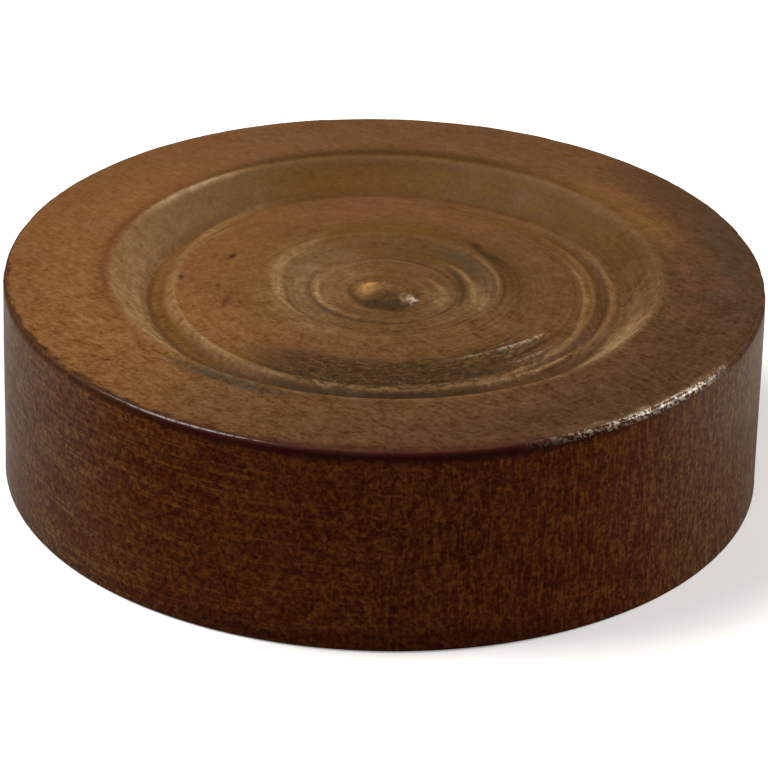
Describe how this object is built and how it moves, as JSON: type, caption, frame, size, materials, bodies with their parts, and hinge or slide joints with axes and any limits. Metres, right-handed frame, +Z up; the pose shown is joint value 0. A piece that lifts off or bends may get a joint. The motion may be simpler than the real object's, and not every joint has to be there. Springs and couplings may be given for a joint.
{
  "type": "dealer button",
  "caption": "Round turned wooden puck with square sides, a flat base and a shallow ringed dish in the top, used to mark the dealer's seat at a card table.",
  "frame": {"origin": "centre of the flat base", "axes": "+Z up along the turning axis, out of the dished top; +X and +Y lie in the base and are interchangeable, because the solid is round"},
  "size_m": [0.064, 0.064, 0.018],
  "materials": {
    "stained_wood": "brown stain under thin, worn satin varnish"
  },
  "bodies": {
    "root": {"turned_disc": "stained_wood"}
  },
  "joints": []
}
